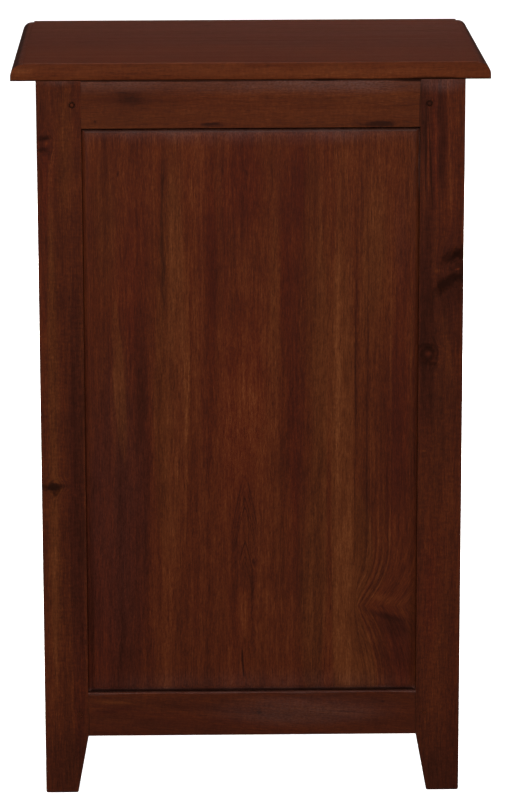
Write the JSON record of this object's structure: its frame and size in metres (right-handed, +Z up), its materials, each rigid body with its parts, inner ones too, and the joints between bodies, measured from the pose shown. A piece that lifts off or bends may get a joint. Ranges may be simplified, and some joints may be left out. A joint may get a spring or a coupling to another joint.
{
  "type": "lamp table",
  "caption": "Tall narrow mahogany lamp table with a moulded top, pegged frame-and-panel sides and back, tapered feet and dovetailed drawers with square wooden knobs.",
  "frame": {"origin": "on the floor, under the middle of the top board, which is the bottom centre of the bounding box", "axes": "+Z up; the front with its drawers faces -Y; the plain back, the face in the picture, faces +Y; +X is on the right of someone who faces the front"},
  "size_m": [0.427, 0.3, 0.68],
  "materials": {
    "top_wood": "satin",
    "frame_wood": "satin",
    "panel_wood": "satin",
    "drawer_front_wood": "satin",
    "knob_wood": "satin",
    "peg_wood": "satin",
    "drawer_wood": "matt",
    "drawer_bottom_board": "matt",
    "inner_wood": "matt",
    "screw_steel": "zinc plated"
  },
  "bodies": {
    "carcase": {"top_board": "top_wood", "front_left_post": "frame_wood", "front_right_post": "frame_wood", "back_left_post": "frame_wood", "back_right_post": "frame_wood", "front_top_rail": "frame_wood", "upper_divider": "frame_wood", "lower_divider": "frame_wood", "front_bottom_rail": "frame_wood", "back_top_rail": "frame_wood", "back_bottom_rail": "frame_wood", "left_top_rail": "frame_wood", "left_bottom_rail": "frame_wood", "right_top_rail": "frame_wood", "right_bottom_rail": "frame_wood", "back_panel": "panel_wood", "left_panel": "panel_wood", "right_panel": "panel_wood", "upper_left_runner": "inner_wood", "upper_left_guide": "inner_wood", "upper_right_runner": "inner_wood", "upper_right_guide": "inner_wood", "middle_left_runner": "inner_wood", "middle_left_guide": "inner_wood", "middle_right_runner": "inner_wood", "middle_right_guide": "inner_wood", "lower_left_runner": "inner_wood", "lower_left_guide": "inner_wood", "lower_right_runner": "inner_wood", "lower_right_guide": "inner_wood", "left_kicker": "inner_wood", "right_kicker": "inner_wood", "drawer_stops": "inner_wood", "top_buttons": "inner_wood", "joint_pegs": "peg_wood", "top_screws": "screw_steel", "button_screws": "screw_steel"},
    "upper_drawer": {"upper_drawer_front": "drawer_front_wood", "upper_drawer_left_side": "drawer_wood", "upper_drawer_right_side": "drawer_wood", "upper_drawer_back": "drawer_wood", "upper_drawer_bottom": "drawer_bottom_board", "upper_knob": "knob_wood", "upper_knob_screw": "screw_steel"},
    "middle_drawer": {"middle_drawer_front": "drawer_front_wood", "middle_drawer_left_side": "drawer_wood", "middle_drawer_right_side": "drawer_wood", "middle_drawer_back": "drawer_wood", "middle_drawer_bottom": "drawer_bottom_board", "middle_knob": "knob_wood", "middle_knob_screw": "screw_steel"},
    "lower_drawer": {"lower_drawer_front": "drawer_front_wood", "lower_drawer_left_side": "drawer_wood", "lower_drawer_right_side": "drawer_wood", "lower_drawer_back": "drawer_wood", "lower_drawer_bottom": "drawer_bottom_board", "lower_knob": "knob_wood", "lower_knob_screw": "screw_steel"}
  },
  "joints": [
    {"name": "upper_drawer_slide", "type": "slide", "parent": "carcase", "child": "upper_drawer", "axis": [0, -1, 0], "range_m": [0, 0.18]},
    {"name": "middle_drawer_slide", "type": "slide", "parent": "carcase", "child": "middle_drawer", "axis": [0, -1, 0], "range_m": [0, 0.18]},
    {"name": "lower_drawer_slide", "type": "slide", "parent": "carcase", "child": "lower_drawer", "axis": [0, -1, 0], "range_m": [0, 0.18]}
  ]
}
